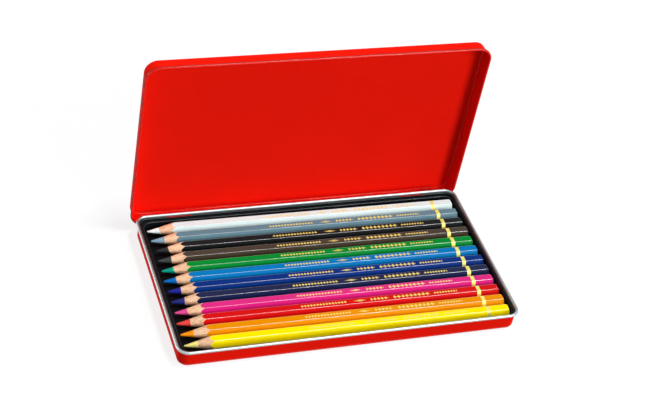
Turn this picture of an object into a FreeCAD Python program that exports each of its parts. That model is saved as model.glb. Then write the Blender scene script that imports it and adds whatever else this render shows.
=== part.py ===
"""A flat hinged pencil tin: a drawn steel tray and lid, a moulded insert and twelve six-sided coloured pencils.

Sizes are in millimetres. X runs along the pencils, from their points to their ends, Y runs back to the hinge and Z is up.
The origin is the middle of the tray's underside. The lid is modelled closed and then turned open about its hinge.
"""
import math
import os

import FreeCAD
import Part

V = FreeCAD.Vector

# Metal sheet
sheet = 0.3
half_sheet = sheet / 2

# Tray
rim_length = 186.0
rim_depth = 104.4
rim_corner = 6.6
rim_bead = 0.79
rim_middle_height = 10.19
tray_bend = 2.0
rim_curl_turn = 285.0

# Thumb recess pressed into the front wall
thumb_length = 21.3
thumb_low = 1.5
thumb_high = 4.3
thumb_sink = 0.25

# Lid
lid_side_gap = 0.2
lid_top_gap = 0.15
lid_height = 8.66
lid_bend = 1.1
lid_bead = 0.65
lid_flare = 0.15
lid_curl_turn = 285.0
lid_open_angle = 88.1

# Grip bar pressed out of the lid's front skirt
grip_length = 10.7
grip_low = 8.25
grip_high = 9.25
grip_stand = 0.25
grip_middle = 1.0

# Hinges
hinge_share = 0.36237
hinge_middle = -0.9
leaf_width = 13.6
leaf_gap = 0.05
leaf_top = 9.5
relief_gap = 0.35
relief_height = 2.2
slot_gap = 0.1
pin_grip = 5.2
pin_clearance = 0.05

# Insert
insert_gap = 0.4
insert_base = 0.4
insert_skin = 0.8
insert_foot = 3.5
insert_round = 1.7
insert_floor = 2.6
ledge_height = 8.5
lip_height = 9.5
lip_width = 0.35
ledge_left = 1.92
ledge_right = 0.62
ledge_back = 2.0
ledge_front = 1.2
recess_corner = 5.0
recess_round = 0.25
notch_gap = 0.35
notch_floor = 9.2

# Pencils
pencil_count = 12
pencil_gap = 0.119
row_back_play = 1.12
row_front_play = 2.26
row_turn = -0.49
point_play = 2.1
end_play = 1.2
pencil_floor_gap = 0.1
pencil_end_round = 1.4
pencil_end_cap = 1.2
point_taper_share = 0.2375
point_round = 0.28
core_share = 0.2836
core_clearance = 0.03
point_shifts = (-0.6, -0.2, 0.9, 0.2, 0.3, -0.3, 0.1, 0.1, 0.4, -0.5, -0.3, -0.2)
end_shifts = (-0.9, -0.5, -0.3, 0.2, -0.1, -0.1, 0.4, 0.4, 0.1, 0.3, 0.2, 0.3)

# Shares and angles
full_turn = 360.0
half_turn = 180.0
quarter_turn = 90.0
six_sides = 6
corner_share = 3 ** -0.5
four_sides = 4
long_share = 1.5
tiny = 1e-6

# Sizes worked out from those above
half_length = rim_length / 2
half_depth = rim_depth / 2
wall_overhang = 2 * rim_bead - sheet
wall_half_length = half_length - wall_overhang
wall_half_depth = half_depth - wall_overhang
wall_corner = rim_corner - wall_overhang
rim_top = rim_middle_height + rim_bead
lid_half_length = half_length + lid_side_gap + sheet
lid_half_depth = half_depth + lid_side_gap + sheet
lid_corner = rim_corner + lid_side_gap + sheet
lid_top = rim_top + lid_top_gap + sheet
lid_low = lid_top - lid_height
hinge_height = lid_low + lid_bead
hinge_back = lid_half_depth - sheet + lid_flare + lid_bead
insert_half_length = wall_half_length - sheet - insert_gap
insert_half_depth = wall_half_depth - sheet - insert_gap
insert_corner = wall_corner - sheet - insert_gap
relief_width = leaf_width + 2 * relief_gap
lip_notch_width = leaf_width + 2 * notch_gap
pin_length = leaf_width + 2 * pin_grip
hinge_offset = rim_length * hinge_share
hinge_left = hinge_middle - hinge_offset
hinge_right = hinge_middle + hinge_offset
recess_front = -insert_half_depth + ledge_front
recess_back = insert_half_depth - ledge_back
row_depth = recess_back - recess_front - row_back_play - row_front_play
pencil_pitch = (row_depth + pencil_gap) / pencil_count
pencil_flats = (pencil_pitch - pencil_gap) / (2 * corner_share)
first_middle = recess_back - row_back_play - (pencil_pitch - pencil_gap) / 2
core_radius = pencil_flats * core_share
pencil_height = insert_floor + pencil_floor_gap + pencil_flats / 2
pencil_point = -insert_half_length + ledge_left + point_play
pencil_end = insert_half_length - ledge_right - end_play


def export(shape, node):
    """Writes one node's shape."""
    shape.exportStep("parts/" + node + ".step")


def angle_vector(degrees, length):
    """A vector of a length at an angle from +X, lying in the XZ plane."""
    turned = FreeCAD.Rotation(V(0, -1, 0), degrees).multVec(V(length, 0, 0))
    return turned


def edge_line(start, end):
    """A straight edge."""
    return Part.LineSegment(start, end).toShape()


def edge_arc(start, middle, end):
    """A round edge through three points."""
    return Part.Arc(start, middle, end).toShape()


def strip_face(start, heading, moves):
    """The cross-section of bent sheet, from a start on its middle line.

    Each move is (length, turn), with turn 0 for a straight run.
    """
    here = start
    left_side = []
    right_side = []
    first_left = here + angle_vector(heading + quarter_turn, half_sheet)
    first_right = here + angle_vector(heading - quarter_turn, half_sheet)
    left_here = first_left
    right_here = first_right
    for size, turn in moves:
        if turn == 0:
            here = here + angle_vector(heading, size)
            left_next = here + angle_vector(heading + quarter_turn, half_sheet)
            right_next = here + angle_vector(heading - quarter_turn, half_sheet)
            left_side.append(edge_line(left_here, left_next))
            right_side.append(edge_line(right_here, right_next))
        else:
            side = quarter_turn if turn > 0 else -quarter_turn
            centre = here + angle_vector(heading + side, size)
            back = heading + side + half_turn
            left_radius = size - half_sheet if turn > 0 else size + half_sheet
            right_radius = size + half_sheet if turn > 0 else size - half_sheet
            left_middle = centre + angle_vector(back + turn / 2, left_radius)
            right_middle = centre + angle_vector(back + turn / 2, right_radius)
            left_next = centre + angle_vector(back + turn, left_radius)
            right_next = centre + angle_vector(back + turn, right_radius)
            left_side.append(edge_arc(left_here, left_middle, left_next))
            right_side.append(edge_arc(right_here, right_middle, right_next))
            here = centre + angle_vector(back + turn, size)
            heading = heading + turn
        left_here = left_next
        right_here = right_next
    caps = [edge_line(first_left, first_right), edge_line(left_here, right_here)]
    ordered = Part.sortEdges(left_side + right_side + caps)[0]
    return Part.Face(Part.Wire(ordered))


def run_around(face, half_x, half_y, corner):
    """Sweeps a cross-section, drawn in XZ with X = 0 on the wall's outer face, around a rounded rectangle."""
    pieces = []
    for side in range(four_sides):
        reach = half_x if side % 2 == 0 else half_y
        run = half_y - corner if side % 2 == 0 else half_x - corner
        straight = face.copy()
        straight.translate(V(reach, -run, 0))
        wall = straight.extrude(V(0, 2 * run, 0))
        bend = face.copy()
        bend.translate(V(corner, 0, 0))
        turned = bend.revolve(V(0, 0, 0), V(0, 0, 1), quarter_turn)
        turned.translate(V(reach - corner, run, 0))
        for piece in (wall, turned):
            piece.rotate(V(0, 0, 0), V(0, 0, 1), quarter_turn * side)
            pieces.append(piece)
    return pieces


def rounded_block(left, right, front, back, corner, low, high):
    """A block with rounded upright edges."""
    block = Part.makeBox(right - left, back - front, high - low, V(left, front, low))
    upright = []
    for edge in block.Edges:
        ends = edge.Vertexes
        if abs(ends[0].Z - ends[1].Z) > tiny:
            upright.append(edge)
    return block.makeFillet(corner, upright)


def joined(pieces):
    """One clean solid from several."""
    return pieces[0].multiFuse(pieces[1:]).removeSplitter()


def thumb_tool(extra):
    """The shallow round-faced slab that presses the thumb recess, with its face moved in by extra."""
    half = thumb_length / 2
    radius = (half * half + thumb_sink * thumb_sink) / (2 * thumb_sink)
    middle = -wall_half_depth + thumb_sink - radius
    drum = Part.makeCylinder(radius + extra, thumb_high - thumb_low, V(0, middle, thumb_low))
    keep = Part.makeBox(thumb_length, 2 * rim_bead, thumb_high, V(-half, -wall_half_depth - rim_bead, 0))
    return drum.common(keep)


def make_base_pan():
    """The drawn tray with its rolled rim, its two hinge slots and its thumb recess."""
    bend_middle = tray_bend - half_sheet
    curl_middle = rim_bead - half_sheet
    wall_run = rim_middle_height - tray_bend
    start = V(-tray_bend, 0, half_sheet)
    moves = [(bend_middle, quarter_turn), (wall_run, 0), (curl_middle, -rim_curl_turn)]
    face = strip_face(start, 0, moves)
    floor = rounded_block(
        -(wall_half_length - tray_bend), wall_half_length - tray_bend,
        -(wall_half_depth - tray_bend), wall_half_depth - tray_bend,
        wall_corner - tray_bend, 0, sheet)
    pan = joined([floor] + run_around(face, wall_half_length, wall_half_depth, wall_corner))
    slot_width = leaf_width + 2 * slot_gap
    slot_height = sheet + 2 * slot_gap
    for place in (hinge_left, hinge_right):
        corner = V(place - slot_width / 2, wall_half_depth - 2 * sheet, lid_low - slot_gap)
        pan = pan.cut(Part.makeBox(slot_width, long_share * 2 * sheet, slot_height, corner))
    pan = pan.fuse(thumb_tool(sheet))
    pan = pan.cut(thumb_tool(0))
    return pan.removeSplitter()


def lid_section():
    """The lid's bent edge: flat top, bend, flared skirt and rolled bead, with X = 0 on the outer face at the top."""
    fall = lid_height - lid_bend - lid_bead
    flare_angle = math.degrees(lid_flare / fall)
    bend_middle = lid_bend - half_sheet
    curl_middle = lid_bead - half_sheet
    start = V(-lid_bend, 0, lid_top - half_sheet)
    bend_turn = quarter_turn - flare_angle
    moves = [(bend_middle, -bend_turn), (fall, 0), (curl_middle, lid_curl_turn)]
    return strip_face(start, 0, moves)


def closed_lid():
    """The lid as it lies on the tray."""
    plate = rounded_block(
        -(lid_half_length - lid_bend), lid_half_length - lid_bend,
        -(lid_half_depth - lid_bend), lid_half_depth - lid_bend,
        lid_corner - lid_bend, lid_top - sheet, lid_top)
    lid = joined([plate] + run_around(lid_section(), lid_half_length, lid_half_depth, lid_corner))
    for place in (hinge_left, hinge_right):
        low = V(place - relief_width / 2, lid_half_depth - 2 * sheet, lid_low - lid_bead)
        lid = lid.cut(Part.makeBox(relief_width, 2 * lid_bead + 2 * sheet, relief_height + lid_bead, low))
    bar_depth = 2 * grip_stand + sheet
    bar_front = -lid_half_depth - grip_stand
    corner = V(grip_middle - grip_length / 2, bar_front, grip_low)
    bar = Part.makeBox(grip_length, bar_depth, grip_high - grip_low, corner)
    outer = [edge for edge in bar.Edges if max(end.Y for end in edge.Vertexes) < bar_front + tiny]
    bar = bar.makeChamfer(grip_stand - tiny, outer)
    return lid.fuse(bar).removeSplitter()


def make_lid():
    """The lid stood open, turned about the middle of its rear bead."""
    lid = closed_lid()
    lid.rotate(V(0, hinge_back, hinge_height), V(1, 0, 0), -lid_open_angle)
    return lid


def make_hinge_leaf(place):
    """A strap inside the rear wall that passes out through the slot and curls around the pin."""
    inner_face = wall_half_depth - sheet
    front = inner_face - leaf_gap - sheet
    left = place - leaf_width / 2
    upright = Part.makeBox(leaf_width, sheet, leaf_top - lid_low, V(left, front, lid_low))
    arm = Part.makeBox(leaf_width, hinge_back - front, sheet, V(left, front, lid_low))
    centre = V(left, hinge_back, hinge_height)
    curl = Part.makeCylinder(lid_bead, leaf_width, centre, V(1, 0, 0))
    bore = Part.makeCylinder(lid_bead - sheet, leaf_width, centre, V(1, 0, 0))
    leaf = joined([upright, arm, curl]).cut(bore)
    return leaf.removeSplitter()


def make_hinge_pin(place):
    """The wire that runs inside the lid's rear bead and through the leaf's curl."""
    radius = lid_bead - sheet - pin_clearance
    return Part.makeCylinder(radius, pin_length, V(place - pin_length / 2, hinge_back, hinge_height), V(1, 0, 0))


def make_insert():
    """The moulded insert: an upright lip, a flat ledge and a deep recess for the pencils."""
    body = rounded_block(
        -insert_half_length, insert_half_length, -insert_half_depth, insert_half_depth,
        insert_corner, insert_base, lip_height)
    under = [edge for edge in body.Edges if edge.BoundBox.ZMax < insert_base + tiny]
    body = body.makeFillet(insert_round, under)
    over = rounded_block(
        -insert_half_length + lip_width, insert_half_length - lip_width,
        -insert_half_depth + lip_width, insert_half_depth - lip_width,
        insert_corner - lip_width, ledge_height, 2 * lip_height)
    tray = body.cut(over)
    recess = rounded_block(
        -insert_half_length + ledge_left, insert_half_length - ledge_right,
        recess_front, recess_back,
        recess_corner, insert_floor, 2 * lip_height)
    tray = tray.cut(recess)
    hollow = rounded_block(
        -insert_half_length + insert_foot, insert_half_length - insert_foot,
        -insert_half_depth + insert_foot, insert_half_depth - insert_foot,
        recess_corner, 0, insert_floor - insert_skin)
    tray = tray.cut(hollow)
    inner_right = insert_half_length - ledge_right
    mouth = []
    for edge in tray.Edges:
        box = edge.BoundBox
        flat = abs(box.ZMax - ledge_height) < tiny and abs(box.ZMin - ledge_height) < tiny
        within = box.XMax < inner_right + tiny and box.XMin > -insert_half_length + ledge_left - tiny
        shallow = box.YMax < recess_back + tiny and box.YMin > recess_front - tiny
        if flat and within and shallow:
            mouth.append(edge)
    tray = tray.makeFillet(recess_round, mouth)
    for place in (hinge_left, hinge_right):
        low = V(place - lip_notch_width / 2, insert_half_depth - long_share * lip_width, notch_floor)
        tray = tray.cut(Part.makeBox(lip_notch_width, 2 * lip_width, lip_height, low))
    return tray.removeSplitter()


def pencil_blank(middle, point, end):
    """The plain six-sided rod with a rounded back end, before it is sharpened."""
    radius = pencil_flats * corner_share
    length = end - point
    corners = []
    for corner in range(six_sides + 1):
        turn = full_turn * corner / six_sides
        across = FreeCAD.Rotation(V(1, 0, 0), turn).multVec(V(0, radius, 0))
        corners.append(V(point, middle, pencil_height) + across)
    rod = Part.Face(Part.makePolygon(corners)).extrude(V(length, 0, 0))
    bar = Part.makeCylinder(radius + tiny, length, V(point, middle, pencil_height), V(1, 0, 0))
    last = [edge for edge in bar.Edges if edge.BoundBox.XMin > end - tiny]
    return rod.common(bar.makeFillet(pencil_end_round, last))


def taper_apex(point):
    """Where the sides of the point would meet, ahead of its rounded tip."""
    slope = (1 + point_taper_share * point_taper_share) ** 0.5
    return point - point_round * (slope / point_taper_share - 1)


def make_casing(middle, point, end):
    """The painted wood, sharpened to a cone and bored for the core."""
    radius = pencil_flats
    apex = taper_apex(point)
    reach = radius / point_taper_share
    cone = Part.makeCone(0, radius, reach, V(apex, middle, pencil_height), V(1, 0, 0))
    rest = Part.makeCylinder(radius, end - apex - reach, V(apex + reach, middle, pencil_height), V(1, 0, 0))
    wood = pencil_blank(middle, point, end).common(cone.fuse(rest))
    bore_length = end - pencil_end_cap - apex
    bore = Part.makeCylinder(core_radius + core_clearance, bore_length, V(apex, middle, pencil_height), V(1, 0, 0))
    return wood.cut(bore).removeSplitter()


def make_core(middle, point, end):
    """The coloured core: a long rod with a tapered point and a small round tip."""
    apex = taper_apex(point)
    share = point_taper_share
    slope = (1 + share * share) ** 0.5
    ball_middle = point + point_round
    touch_along = ball_middle - point_round * share / slope
    touch_out = point_round / slope
    shoulder = apex + core_radius / share
    back = end - pencil_end_cap - core_clearance
    level = V(0, middle, pencil_height)
    tip = level + V(point, 0, 0)
    lean = (touch_along - ball_middle) / point_round
    bow = ((1 + lean) / 2) ** 0.5
    across = ((1 - lean) / 2) ** 0.5
    turn_middle = level + V(ball_middle - point_round * across, 0, point_round * bow)
    touch = level + V(touch_along, 0, touch_out)
    edge_points = [level + V(shoulder, 0, core_radius), level + V(back, 0, core_radius), level + V(back, 0, 0)]
    edges = [edge_arc(tip, turn_middle, touch)]
    last = touch
    for point in edge_points:
        edges.append(edge_line(last, point))
        last = point
    edges.append(edge_line(last, tip))
    outline = Part.Face(Part.Wire(edges))
    return outline.revolve(level, V(1, 0, 0), full_turn)


def main():
    os.makedirs("parts", exist_ok=True)
    export(make_base_pan(), "base_pan")
    export(make_insert(), "insert_tray")
    export(make_lid(), "lid")
    for name, place in (("left", hinge_left), ("right", hinge_right)):
        export(make_hinge_leaf(place), "hinge_leaf_" + name)
        export(make_hinge_pin(place), "hinge_pin_" + name)
    for index in range(pencil_count):
        middle = first_middle - index * pencil_pitch
        node = "pencil_%02d" % (index + 1)
        point = pencil_point + point_shifts[index]
        end = pencil_end + end_shifts[index]
        casing = make_casing(middle, point, end)
        core = make_core(middle, point, end)
        for piece in (casing, core):
            piece.rotate(V(0, 0, 0), V(0, 0, 1), row_turn)
        export(casing, node + "_casing")
        export(core, node + "_core")


main()
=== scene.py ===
"""Looks for a flat hinged pencil tin: enamelled tray and lid, moulded insert and twelve lacquered pencils.

Run as a script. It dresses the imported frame, one operator for each group of pieces, and sets the stage around it.
Lengths in the tables below are in millimetres and turn into metres when a mesh is made, and angles are in degrees.
"""
import math

import bpy
import numpy as np
from bpy.props import FloatProperty, FloatVectorProperty, PointerProperty
from mathutils import Matrix, Vector


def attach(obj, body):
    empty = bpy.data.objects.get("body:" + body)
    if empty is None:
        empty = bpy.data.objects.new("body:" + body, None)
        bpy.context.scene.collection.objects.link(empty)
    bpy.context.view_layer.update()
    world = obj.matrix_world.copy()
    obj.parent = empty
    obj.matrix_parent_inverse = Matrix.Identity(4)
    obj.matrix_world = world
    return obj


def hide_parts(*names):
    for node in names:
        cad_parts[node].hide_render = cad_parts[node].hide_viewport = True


bl_info = {
    "name": "Pencil Tin",
    "version": (1, 0, 0),
    "blender": (4, 5, 0),
    "location": "3D View > Sidebar > Pencil Tin",
    "description": "Builds the looks of a flat hinged tin of coloured pencils around its packed frame",
    "category": "Object",
}

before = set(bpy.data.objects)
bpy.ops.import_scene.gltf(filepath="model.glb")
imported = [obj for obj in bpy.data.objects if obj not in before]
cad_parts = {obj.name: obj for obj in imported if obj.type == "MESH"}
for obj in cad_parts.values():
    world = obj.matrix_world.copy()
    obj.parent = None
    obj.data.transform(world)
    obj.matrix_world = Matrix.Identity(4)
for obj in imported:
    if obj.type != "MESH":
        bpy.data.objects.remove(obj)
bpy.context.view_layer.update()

MM = 0.001
MICRON = 0.000001

# Bent sheet: its thickness, the turn of one step round a bend, and the spacing of the points along straight runs
SHEET = 0.3
BEND_STEP = 7.0
RUN_STEP = 0.8
RUN_EDGE = 0.12
CURL_TURN = 285.0
START_RUN = 1.0
CORNER_POINTS = 17
SIDE_STOPS = np.linspace(-40, 40, 9)

# Tray, as drawn in the part's source
RIM_HALF = (92.996, 52.195)
RIM_CORNER = 6.6
RIM_BEAD = 0.79
RIM_MIDDLE = 10.19
BARE_FROM = 7.0
TRAY_BEND = 2.0
THUMB_HALF = 10.65
THUMB_SINK = 0.25
THUMB_SPAN = (1.5, 4.3)
THUMB_DEPTH = 0.5
TRAY_FRONT_STOPS = np.concatenate([[-80, -60, -40, -20], np.linspace(-11.2, 11.2, 33), [20, 40, 60, 80]])

# Lid, as it lies shut
LID_HALF = (93.496, 52.696)
LID_CORNER = 7.1
LID_TOP = 11.43
LID_HEIGHT = 8.66
LID_BEND = 1.1
LID_BEAD = 0.65
LID_FLARE = 0.15
LID_OPEN = 88.1
# Share of the way round the lid's bead curl over which the painted shade in its crease fades in; it is full beyond
SEAM_SHADE_SPAN = (0.42, 0.57)
HINGE = (53.2, 3.42)
HINGE_PLACES = (-68.3, 66.5)
RELIEF_HALF = 7.15
RELIEF_HEIGHT = 2.2
GRIP_MIDDLE = 1.0
GRIP_HALF = 5.35
GRIP_SPAN = (8.25, 9.25)
GRIP_STAND = 0.25
GRIP_EDGE = 0.6
PRESS_EDGE = 0.5
LID_FRONT_STOPS = np.concatenate(
    [[-80, -60, -40, -20, -8], GRIP_MIDDLE + np.linspace(-6, 6, 49), [20, 40, 60, 80]])
# Along the rear side from +X to -X, with two stops at each edge of a hinge's cut-out for a clean step
REAR_STOPS = np.sort(np.concatenate(
    [[80, 62, 45, 25, 0, -25, -45, -62, -80]]
    + [[place - RELIEF_HALF] * 2 + [place + RELIEF_HALF] * 2 for place in HINGE_PLACES]))[::-1]

# Insert
INSERT_HALF = (91.02, 50.22)
INSERT_CORNER = 4.62
LEAST_CORNER = 2.5
INSERT_BASE = 0.4
INSERT_FLOOR = 2.6
INSERT_SKIN = 0.8
INSERT_FOOT = 3.5
HOLLOW_MARGIN = 0.6
INSERT_ROUND = 1.7
LEDGE = 8.5
LIP = 9.5
LIP_WIDTH = 0.35
LIP_ROUND = 0.13
NOTCH_FLOOR = 9.2
RECESS = (-89.1, 90.4, -49.02, 48.22)
RECESS_CORNER = 5.0
LEAST_RECESS_CORNER = 1.0
MOUTH_ROUND = 0.25
MOUTH_STEPS = 5
FLOOR_ROUND = 0.8
FLOOR_MARGIN = 0.5
ROUND_POINTS = 10
# An extra level this far from an edge keeps the flat beside it evenly shaded
GUARD = 0.1
FINE_GUARD = 0.08
INSERT_SIDE_STOPS = np.linspace(-38, 38, 9)
INSERT_FRONT_STOPS = np.array([-80, -60, -30, 0, 30, 60, 80.0])

# Pencils
PENCIL_FLATS = 6.68
PENCIL_HEIGHT = 6.04
PENCIL_FIRST = 43.24
PENCIL_PITCH = 7.832
ROW_TURN = -0.49
POINT_X = -87.0
END_X = 89.2
TAPER = 0.2375
TIP_SWELL = 0.36
SWELL_LENGTH = 0.3
CORE_START = 0.2
POINT_ROUND = 0.28
CORE_RADIUS = 1.895
CORE_OVAL = 0.03
CORE_SIDES = 48
BORE_RADIUS = 1.925
BORE_MOUTH = 0.3
END_ROUND = 1.4
END_ANGLES = np.linspace(0, 86, 13)
END_CAP = 1.2
CAP_SHARE = 0.9
ROD_START = 20
ROD_RINGS = 7
RIDGE_ROUND = 0.22
RIDGE_POINTS = 9
FLAT_POINTS = 5
FLAT_EDGE = 0.06
WOOD_SHARES = (0.0, 0.25, 0.5, 0.75, 1.0)
LACQUER_STARTS = (0.15, 1.0)
# Waves in the edge between wood and lacquer: height, pace around the pencil and shift from one pencil to the next
WAVERS = ((0.1, 1.7, 1.0), (0.07, 0.61, 2.3))
TIP_SHARES = np.concatenate([[0.0008, 0.004, 0.012, 0.026, 0.045, 0.07, 0.1, 0.15], np.linspace(0.2, 1, 12)])

# Creases sharper than these stay sharp
SHELL_CREASE = 32
CASING_CREASE = 11
CORE_CREASE = 28

# Each pencil from the back: its lacquer and its core on the 0 to 255 screen scale, the share of a pale haze that the
# varnish shows at a slant, the shifts of its point and of its end, and how far its core sits below the middle
PENCILS = {
    "white": ((210, 229, 228), (234, 242, 242), 0.0, -0.6, -0.9, 0.22),
    "grey": ((94, 129, 142), (128, 162, 184), 0.01, -0.2, -0.5, 0.0),
    "black": ((3, 5, 7), (34, 42, 44), 0.19, 0.9, -0.3, 0.19),
    "brown": ((58, 46, 30), (58, 66, 65), 0.3, 0.2, 0.2, 0.04),
    "green": ((0, 134, 50), (0, 152, 132), 0.0, 0.3, -0.1, 0.2),
    "azure": ((0, 117, 182), (0, 104, 184), 0.0, -0.3, -0.1, 0.15),
    "ultramarine": ((4, 48, 123), (26, 34, 136), 0.0, 0.1, 0.4, 0.05),
    "indigo": ((8, 20, 66), (32, 40, 118), 0.22, 0.1, 0.4, 0.0),
    "magenta": ((208, 14, 122), (222, 74, 146), 0.3, 0.4, 0.1, 0.2),
    "red": ((201, 3, 5), (226, 68, 64), 0.09, -0.5, 0.3, 0.05),
    "orange": ((222, 139, 1), (250, 146, 12), 0.0, -0.3, 0.2, 0.1),
    "yellow": ((252, 226, 0), (250, 236, 136), 0.0, -0.2, 0.3, 0.02),
}

# Gold print: the blur of the ring's edges, then the ornament, where its runs start and end along a pencil, and where
# its lozenges change size
RING_BLUR = (-0.08, 0.05)
STAMP_SIZE = 1.6
STAMP_GAP = 1.05
STAMP_STEPS = ((10.0, 0.3), (28.0, 0.3), (50.8, -0.7))
STAMP_RUNS = ((-22.0, 3.2), (16.5, 26.4), (29.2, 49.8), (52.0, 65.4))
LEAF_MIDDLE = 10.4
LEAF_HALF = 4.0

# Patterns in the finishes: how many of their patches lie along a metre
ENAMEL_CLOUD = 38.0
ENAMEL_RUB = 700.0
ENAMEL_DUST = 5200.0
RIM_SLANT = (500.0, 500.0, 90.0)
PLASTIC_CLOUD = 60.0
PLASTIC_GRAIN = 3400.0
WIRE_DRAW = (40.0, 2600.0, 2600.0)
LACQUER_CLOUD = 70.0
LACQUER_WEAR = 900.0
LACQUER_RIPPLE = (160.0, 700.0, 700.0)
CEDAR_CLOUD = 160.0
CEDAR_LINES = (170.0, 1500.0, 1500.0)
CEDAR_FLECKS = (900.0, 2600.0, 2600.0)
CORE_CLOUD = 420.0
CORE_SPECK = 3800.0

# Stage
WHITE = (1.0, 1.0, 1.0)
FLOOR_REACH = 4000.0
FLOOR_DROP = 0.05
FLOOR_GREY = 0.2
FLOOR_LIFT = 0.82
SKY_STRENGTH = 0.2
# Each light is a distant soft source: its direction from the tin, its strength and its angle across
LIGHTS = (
    ("key_above", (0.316, -0.1, 0.943), 2.05, 14.0),
    ("fill_front", (0.5, -0.76, 0.41), 2.3, 24.0),
    ("rim_left", (-0.85, 0.5, 0.12), 1.7, 30.0),
)

# Camera, solved from the photograph's edges, with its distances in metres
CAMERA_AZIMUTH = -24.2084
CAMERA_ELEVATION = 39.5548
CAMERA_ROLL = 10.8925
CAMERA_DISTANCE = 0.8691366
CAMERA_ACROSS = 0.0003289
CAMERA_UP = 0.0411252
CAMERA_CLIP = (0.05, 50.0)
SENSOR_WIDTH = 36.0
FOCAL_PIXELS = 1623.2957
PICTURE_WIDTH = 648


def linear(red, green, blue):
    """A colour given on the 0 to 255 screen scale, as linear light."""
    shares = (red / 255, green / 255, blue / 255)
    return tuple(share / 12.92 if share <= 0.04045 else ((share + 0.055) / 1.055) ** 2.4 for share in shares)


def colour(name, description, default):
    """A colour setting."""
    return FloatVectorProperty(
        name=name, description=description, default=default, subtype="COLOR", size=3, min=0.0, max=1.0)


def length(name, description, default):
    """A length setting in metres."""
    return FloatProperty(
        name=name, description=description, default=default * MM, unit="LENGTH", subtype="DISTANCE", min=0.0)


def pencil_colours():
    """A colour setting for each pencil's lacquer and for its core, as annotations."""
    return {"%s_%s" % (title, key): colour("%s %s" % (key.capitalize(), title),
                                           "%s of the %s pencil" % (title.capitalize(), key), linear(*row[column]))
            for column, title in enumerate(("lacquer", "core")) for key, row in PENCILS.items()}


class PencilTinColours(bpy.types.PropertyGroup):
    """The tin's finishes."""
    enamel: colour("Enamel", "Red enamel on the tray, the lid and the hinge leaves", linear(240, 26, 12))
    rim_metal: colour("Rim metal", "Bare tinplate on the rolled rim", (0.37, 0.44, 0.44))
    plastic: colour("Insert plastic", "Black moulded plastic of the insert", linear(13, 19, 21))
    wood: colour("Cedar", "Bare wood where the pencils are sharpened", linear(236, 199, 163))
    wood_grain: colour("Cedar grain", "Darker lines in the bare wood", linear(204, 150, 112))
    foil: colour("Gold foil", "Stamped ring and ornament on each pencil", (0.88, 0.81, 0.2))
    wire: colour("Hinge wire", "Steel of the hinge pins", (0.6, 0.6, 0.62))


PencilTinColours.__annotations__.update(pencil_colours())


class PencilTinSizes(bpy.types.PropertyGroup):
    """Small sizes that change the looks and not the frame."""
    ridge: length("Ridge round", "Radius along a pencil's six ridges", RIDGE_ROUND)
    ring_width: length("Ring width", "Width of the gold ring", 2.1)
    ring_place: length("Ring place", "Distance from the pencil's end to the middle of the ring", 11.9)
    peel: length("Enamel ripple", "Distance between the ripples in the enamel", 1.6)


# Meshes

def new_object(name, data):
    """An object linked to the scene."""
    made = bpy.data.objects.new(name, data)
    bpy.context.scene.collection.objects.link(made)
    return made


def rounded_rectangle(level, stops):
    """Points around a rounded rectangle (left, right, front, back, corner, height), anticlockwise from the right.

    Each corner is a quarter circle in equal angles, and each side keeps its stops at fixed places between the corners.
    """
    left, right, front, back, corner, height = level
    right_stops, back_stops, left_stops, front_stops = stops
    quarter = np.radians(np.linspace(0, 90, CORNER_POINTS))
    across = corner * np.cos(quarter)
    along = corner * np.sin(quarter)
    return np.vstack([np.column_stack(np.broadcast_arrays(x, y, height)) for x, y in (
        (right, right_stops),
        (right - corner + across, back - corner + along),
        (back_stops, back),
        (left + corner - along, back - corner + across),
        (left, left_stops),
        (left + corner - across, front + corner - along),
        (front_stops, front),
        (right - corner + along, front + corner - across))])


def levels_grid(levels, stops):
    """A grid of points, with one rounded rectangle for each level."""
    return np.array([rounded_rectangle(level, stops) for level in levels])


def there_and_back(outer, inner):
    """Rows for a strip's outer face from its start, then rows for its inner face back to its start."""
    return np.concatenate([outer, inner[::-1]])


def carried_strip(outer, inner, half, corner, stops):
    """A grid of points: a strip's section, (outward distance from the wall, height), carried round a rectangle."""
    levels = [(-half[0] - out, half[0] + out, -half[1] - out, half[1] + out, corner + out, height)
              for out, height in there_and_back(outer, inner)]
    return levels_grid(levels, stops)


def grid_faces(rows, columns, close_rows=False, close_columns=False):
    """Quads of a grid whose points are numbered row by row."""
    row = np.arange(rows if close_rows else rows - 1)
    column = np.arange(columns if close_columns else columns - 1)
    row, column = np.meshgrid(row, column, indexing="ij")
    corners = [(row + down) % rows * columns + (column + along) % columns
               for down, along in ((0, 0), (0, 1), (1, 1), (1, 0))]
    return np.stack(corners, axis=-1).reshape(-1, 4)


def capped_faces(rows, columns):
    """Quads of a grid of closed rings, with one face over its first ring and one over its last."""
    first = np.arange(columns)[None, ::-1]
    last = (np.arange(columns) + (rows - 1) * columns)[None, :]
    return [grid_faces(rows, columns, close_columns=True), first, last]


def turned_outwards(points, faces):
    """Groups of faces, all wound the same way, turned so that the closed mesh they make holds a positive volume.

    The volume is the sum over the triangle fan of each face of the triple product of its three corners.
    """
    volume = 0.0
    for group in faces:
        first = points[group[:, 0]]
        for corner in range(1, group.shape[1] - 1):
            volume += np.einsum("ij,ij->", first, np.cross(points[group[:, corner]], points[group[:, corner + 1]]))
    return [group[:, ::-1] for group in faces] if volume < 0 else faces


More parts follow.
